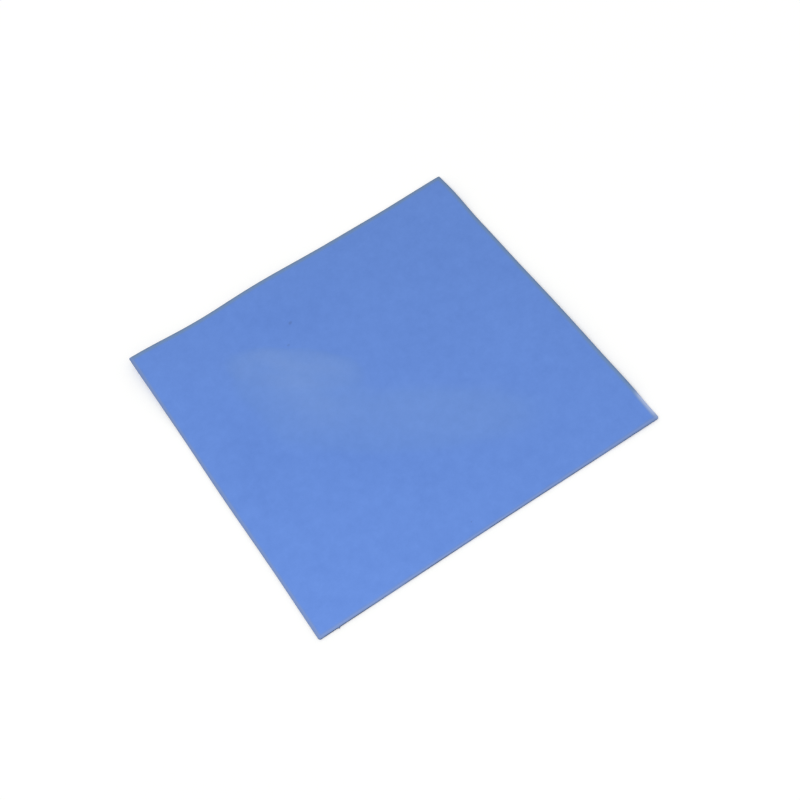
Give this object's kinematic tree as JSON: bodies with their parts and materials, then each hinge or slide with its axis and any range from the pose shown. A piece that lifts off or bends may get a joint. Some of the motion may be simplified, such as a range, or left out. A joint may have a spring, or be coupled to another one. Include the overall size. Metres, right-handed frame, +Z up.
{
  "type": "thermal pad sheet",
  "caption": "Square sheet of soft blue silicone that is cut to fit between a component and its heatsink to carry heat.",
  "frame": {"origin": "middle of the sheet's length and width, on the surface that it lies on", "axes": "+X to the right edge and +Y to the back edge, the two edges that are a little lifted; +Z up through the sheet's thickness"},
  "size_m": [0.1, 0.1001, 0.0024],
  "materials": {
    "silicone": "satin"
  },
  "bodies": {
    "root": {"thermal_pad": "silicone"}
  },
  "joints": []
}
